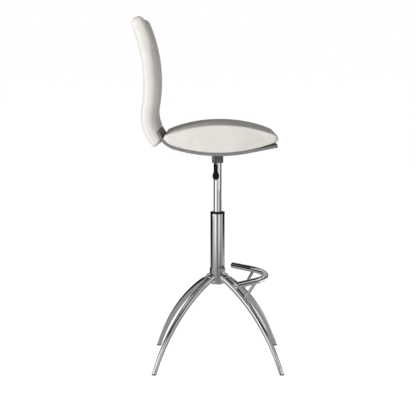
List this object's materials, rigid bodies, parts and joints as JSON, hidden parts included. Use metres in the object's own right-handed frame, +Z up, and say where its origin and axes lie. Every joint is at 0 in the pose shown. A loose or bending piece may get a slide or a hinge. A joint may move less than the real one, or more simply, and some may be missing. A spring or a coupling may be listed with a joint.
{
  "type": "adjustable swivel stool",
  "caption": "Tall swivel stool with a padded lens-shaped seat and waved back on a gas lift, a release lever, curved chromed legs and a bowed tube footrest.",
  "frame": {"origin": "on the floor under the swivel axis, at the middle of the four feet", "axes": "+Z up, +X the way the sitter faces, +Y to the sitter's left"},
  "size_m": [0.5145, 0.4494, 1.2059],
  "materials": {
    "chrome": "bright chromed steel tube",
    "black_plastic": "moulded black plastic",
    "steel": "plain turned or drawn steel",
    "aluminium": "turned aluminium",
    "rubber": "black rubber",
    "dark_metal": "dark grey satin paint",
    "dark_pan": "moulded plywood in dark grey satin lacquer",
    "board": "bare plywood",
    "cover": "smooth warm off-white leather-look cover over foam"
  },
  "bodies": {
    "base": {"leg_front_left": "chrome", "leg_front_right": "chrome", "leg_rear_left": "chrome", "leg_rear_right": "chrome", "leg_collars": "chrome", "glide_front_left": "black_plastic", "glide_front_right": "black_plastic", "glide_rear_left": "black_plastic", "glide_rear_right": "black_plastic", "hub_sleeve": "chrome", "hub_cap": "chrome", "column_tube": "chrome", "column_end_plate": "steel", "guide_bush": "black_plastic", "lower_race": "steel", "footrest_bar": "chrome", "footrest_end_caps": "chrome", "footrest_strut_left": "chrome", "footrest_strut_right": "chrome"},
    "spindle": {"piston_rod": "steel", "piston": "aluminium", "piston_ring": "rubber", "upper_race": "steel", "buffer_ring": "rubber", "retaining_clip": "steel", "clip_washer": "steel"},
    "cage": {"ball_cage": "black_plastic", "bearing_balls": "steel"},
    "seat": {"lift_cylinder": "chrome", "pressure_tube": "steel", "rod_guide": "black_plastic", "rod_seal": "rubber", "valve_body": "aluminium", "seat_socket": "dark_metal", "lever_pin": "steel", "mounting_plate": "dark_metal", "plate_screws": "steel", "tee_nuts": "steel", "seat_pan": "dark_pan", "seat_board": "board", "seat_cushion": "cover", "back_board": "board", "back_cushion": "cover", "back_screws": "dark_metal"},
    "lever": {"lever_rod": "steel", "lever_grip": "black_plastic"},
    "button": {"valve_button": "steel"}
  },
  "joints": [
    {"name": "swivel", "type": "hinge", "parent": "base", "child": "spindle", "pos_m": [0, 0, 0.3], "axis": [0, 0, 1], "continuous": true},
    {"name": "cage_roll", "type": "hinge", "parent": "base", "child": "cage", "pos_m": [0, 0, 0.296], "axis": [0, 0, 1], "continuous": true},
    {"name": "height", "type": "slide", "parent": "spindle", "child": "seat", "axis": [0, 0, 1], "range_m": [-0.135, 0.015]},
    {"name": "lever_lift", "type": "hinge", "parent": "seat", "child": "lever", "pos_m": [-0.007, -0.0145, 0.7365], "axis": [-1, 0, 0], "range_deg": [0, 12], "stiffness_Nm_per_rad": 3, "springref_deg": -2.86},
    {"name": "valve_press", "type": "slide", "parent": "seat", "child": "button", "axis": [0, 0, -1], "range_m": [0, 0.0034]}
  ],
  "couplings": [
    {"joint": "cage_roll", "follows": "swivel", "ratio": 0.5},
    {"joint": "valve_press", "follows": "lever_lift", "m_per_rad": 0.0158}
  ]
}
